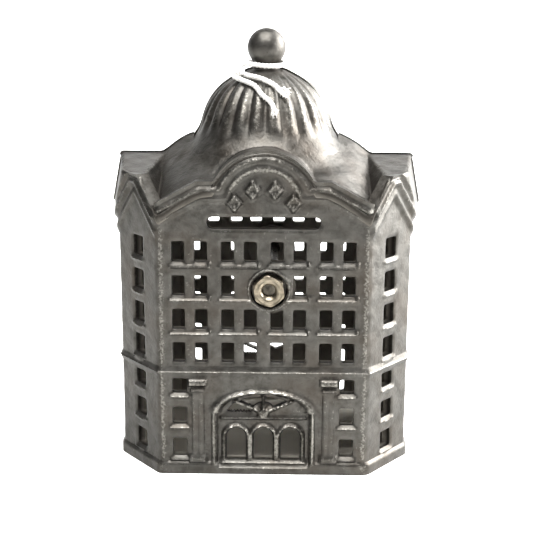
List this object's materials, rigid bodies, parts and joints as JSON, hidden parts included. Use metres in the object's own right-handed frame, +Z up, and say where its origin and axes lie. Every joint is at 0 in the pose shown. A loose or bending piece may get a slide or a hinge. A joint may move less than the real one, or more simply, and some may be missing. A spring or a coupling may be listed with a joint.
{
  "type": "still bank",
  "caption": "Cast iron coin bank shaped as a domed building: two half shells clamped by a long screw and a hex nut, with a coin slot under the cornice.",
  "frame": {"origin": "centre of the underside, on the surface the bank stands on", "axes": "+Z up to the ball, -Y towards the slotted front, +X to the right seen from the front; the two halves meet on the plane Y = 0"},
  "size_m": [0.0816, 0.0553, 0.1143],
  "materials": {
    "cast_iron": "bare iron, worn bright on the edges, thin brown-grey patina in the hollows",
    "screw_steel": "dull machine screw with a worn slot",
    "nut_steel": "old nickel plate gone warm and dull",
    "cotton": "soft twisted white cotton twine with frayed ends"
  },
  "bodies": {
    "front": {"front_shell": "cast_iron", "tag_string": "cotton"},
    "rear": {"rear_shell": "cast_iron"},
    "screw": {"clamp_screw": "screw_steel"},
    "nut": {"hex_nut": "nut_steel"}
  },
  "joints": [
    {"name": "rear_shell_slide", "type": "slide", "parent": "front", "child": "rear", "axis": [0, 1, 0], "range_m": [0, 0.06]},
    {"name": "screw_withdraw", "type": "slide", "parent": "rear", "child": "screw", "axis": [0, 1, 0], "range_m": [0, 0.0042]},
    {"name": "nut_turn", "type": "hinge", "parent": "front", "child": "nut", "pos_m": [0.00135, -0.0262, 0.05], "axis": [0, -1, 0], "range_deg": [0, 2160]}
  ],
  "couplings": [
    {"joint": "nut_turn", "follows": "screw_withdraw", "rad_per_m": 8976}
  ]
}
